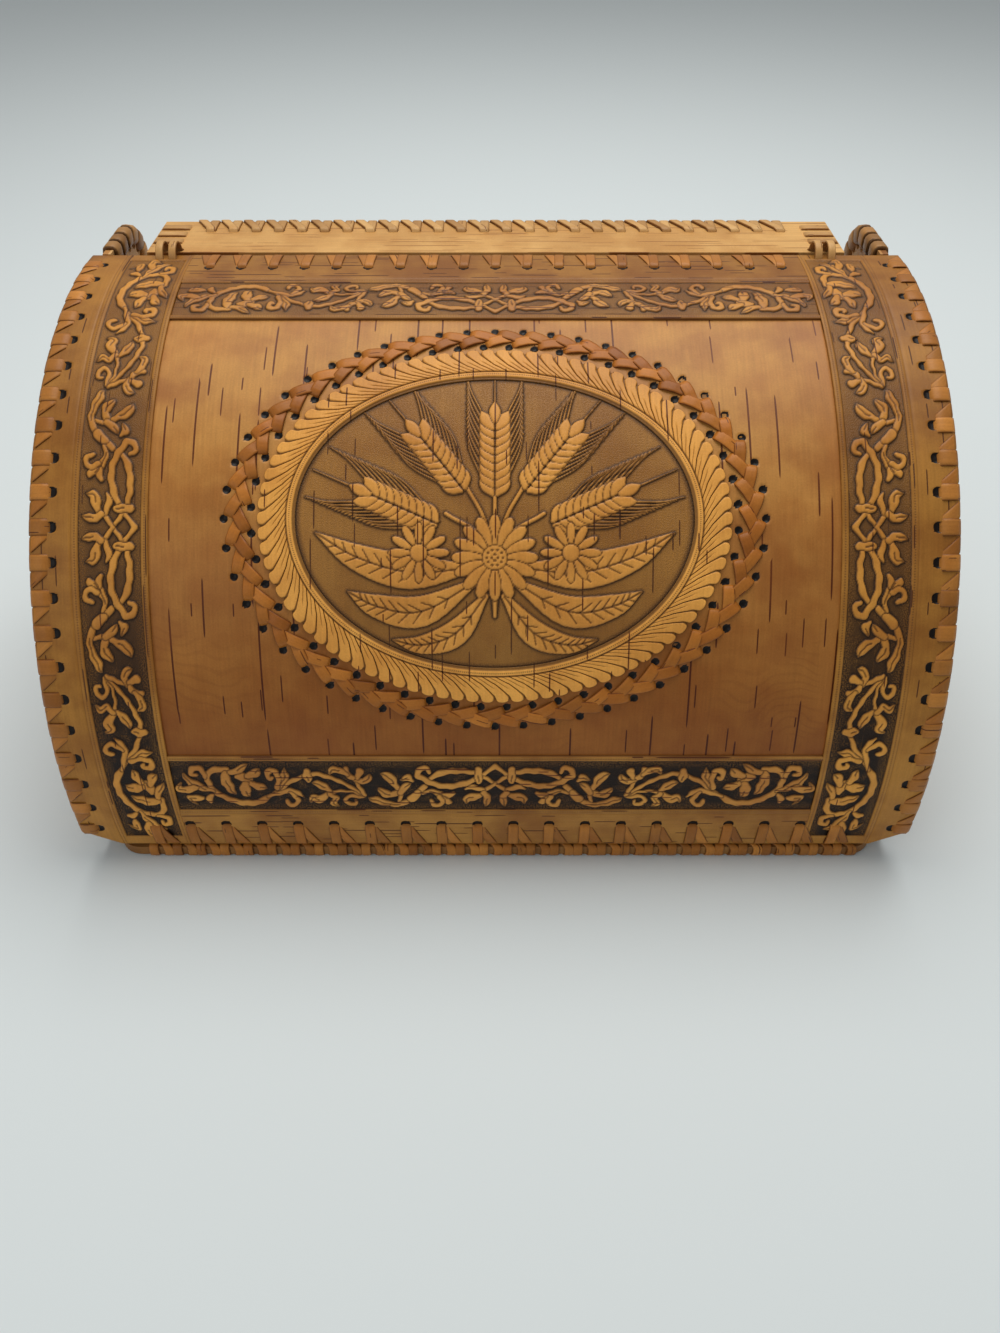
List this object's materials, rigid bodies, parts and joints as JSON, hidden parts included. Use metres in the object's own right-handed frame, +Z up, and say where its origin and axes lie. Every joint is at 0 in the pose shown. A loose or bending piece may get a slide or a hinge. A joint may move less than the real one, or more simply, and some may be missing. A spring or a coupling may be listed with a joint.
{
  "type": "birch bark bread box",
  "caption": "Laced birch bark bread box with a hood-shaped lid that tips up and back, embossed vine bands and an oval relief panel.",
  "frame": {"origin": "bottom centre of the closed box, on the face it stands on", "axes": "+X along the hinge line to the box's right as seen from the front, +Y to the back, +Z up"},
  "size_m": [0.38, 0.2421, 0.217],
  "materials": {
    "face_bark": "satin",
    "margin_bark": "satin",
    "pale_bark": "satin",
    "lining_bark": "matte",
    "relief_bark": "satin",
    "lace": "satin",
    "pale_lace": "satin",
    "dark_lace": "satin"
  },
  "bodies": {
    "body": {"base_sole": "margin_bark", "base_lower_sheet": "margin_bark", "base_upper_sheet": "face_bark", "base_lining": "pale_bark", "base_front_lacing": "lace", "base_back_lacing": "lace", "base_left_lacing": "lace", "base_right_lacing": "lace", "left_foot_lacing": "lace", "right_foot_lacing": "lace", "back_panel": "face_bark", "back_lining": "lining_bark", "left_end_panel": "face_bark", "right_end_panel": "face_bark", "left_end_lining": "lining_bark", "right_end_lining": "lining_bark", "left_end_rim_lacing": "lace", "right_end_rim_lacing": "lace", "back_left_lacing": "lace", "back_right_lacing": "lace", "top_strip": "pale_bark", "top_strip_lining": "lining_bark", "strip_back_lacing": "pale_lace", "strip_left_lacing": "pale_lace", "strip_right_lacing": "pale_lace", "left_hinge_ties": "pale_lace", "right_hinge_ties": "pale_lace"},
    "lid": {"lid_face": "face_bark", "lid_core": "margin_bark", "lid_lining": "lining_bark", "left_band": "relief_bark", "right_band": "relief_bark", "upper_band": "relief_bark", "lower_band": "relief_bark", "medallion": "relief_bark", "medallion_braid": "lace", "left_cheek": "margin_bark", "right_cheek": "margin_bark", "left_cheek_lining": "lining_bark", "right_cheek_lining": "lining_bark", "lid_left_lacing": "lace", "lid_right_lacing": "lace", "lid_upper_lacing": "lace", "lid_lower_lacing": "lace", "left_cheek_rim_lacing": "dark_lace", "right_cheek_rim_lacing": "dark_lace"}
  },
  "joints": [
    {"name": "lid_hinge", "type": "hinge", "parent": "body", "child": "lid", "pos_m": [0, 0.07001, 0.21015], "axis": [-1, 0, 0], "range_deg": [0, 105]}
  ]
}
